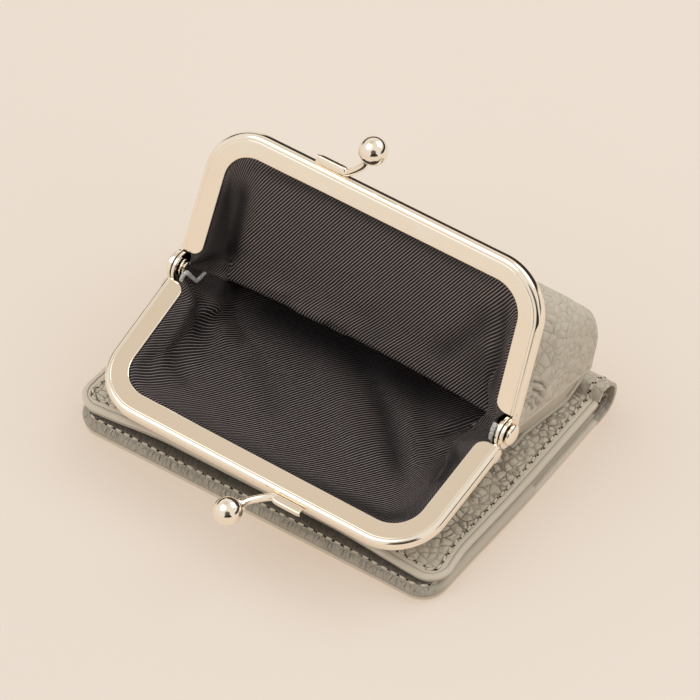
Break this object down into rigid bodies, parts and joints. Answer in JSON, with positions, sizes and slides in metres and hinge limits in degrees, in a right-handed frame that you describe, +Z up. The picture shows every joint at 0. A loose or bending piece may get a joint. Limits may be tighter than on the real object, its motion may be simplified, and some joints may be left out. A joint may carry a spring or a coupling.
{
  "type": "leather bifold wallet with kiss-lock coin purse",
  "caption": "Folded leather bifold wallet with a framed kiss-lock coin purse sewn to its front cover, purse mouth held open",
  "frame": {"origin": "middle of the flat face of the back cover that the wallet lies on", "axes": "X along the spine, +Y from the free edges towards the spine, +Z up"},
  "size_m": [0.1116, 0.1064, 0.0861],
  "materials": {
    "grained_leather": "pebble-grained greige leather, soft satin",
    "plain_leather": "smooth greige lining leather, matte",
    "lining_cloth": "dark ribbed twill with a soft sheen",
    "board": "uncoated stiffener board",
    "gilt_metal": "polished pale champagne gilt",
    "paper_cord": "twisted grey-white paper cord"
  },
  "bodies": {
    "back_leaf": {"back_cover": "grained_leather", "back_stiffener": "board", "back_cover_lining": "lining_cloth", "back_inner_panel": "plain_leather", "back_card_pocket_1": "plain_leather", "back_card_pocket_2": "plain_leather", "back_card_pocket_3": "plain_leather", "spine_cover": "grained_leather", "spine_lining": "plain_leather"},
    "front_leaf": {"front_card_pocket": "plain_leather", "front_inner_panel": "plain_leather", "front_stiffener": "board", "front_cover": "grained_leather", "purse_lower_leather": "grained_leather", "purse_lower_lining": "lining_cloth", "purse_base_welt": "grained_leather", "purse_upper_leather": "grained_leather", "purse_upper_lining": "lining_cloth", "lower_jaw": "gilt_metal", "lower_jaw_cord": "paper_cord", "lower_clasp_stem": "gilt_metal", "lower_clasp_ball": "gilt_metal", "hinge_washer_left": "gilt_metal", "hinge_washer_right": "gilt_metal", "hinge_rivet_left": "gilt_metal", "hinge_rivet_right": "gilt_metal"},
    "upper_jaw": {"upper_jaw": "gilt_metal", "upper_jaw_cord": "paper_cord", "upper_clasp_stem": "gilt_metal", "upper_clasp_ball": "gilt_metal"}
  },
  "joints": [
    {"name": "wallet_fold", "type": "hinge", "parent": "back_leaf", "child": "front_leaf", "pos_m": [0, 0.036, 0.0055], "axis": [-1, 0, 0], "range_deg": [0, 180], "deforming": ["spine_cover", "spine_lining"]},
    {"name": "purse_hinge", "type": "hinge", "parent": "front_leaf", "child": "upper_jaw", "pos_m": [0.001, -0.005, 0.0302], "axis": [1, 0, 0], "range_deg": [-16, 126.5], "deforming": ["purse_upper_leather", "purse_upper_lining"]}
  ]
}
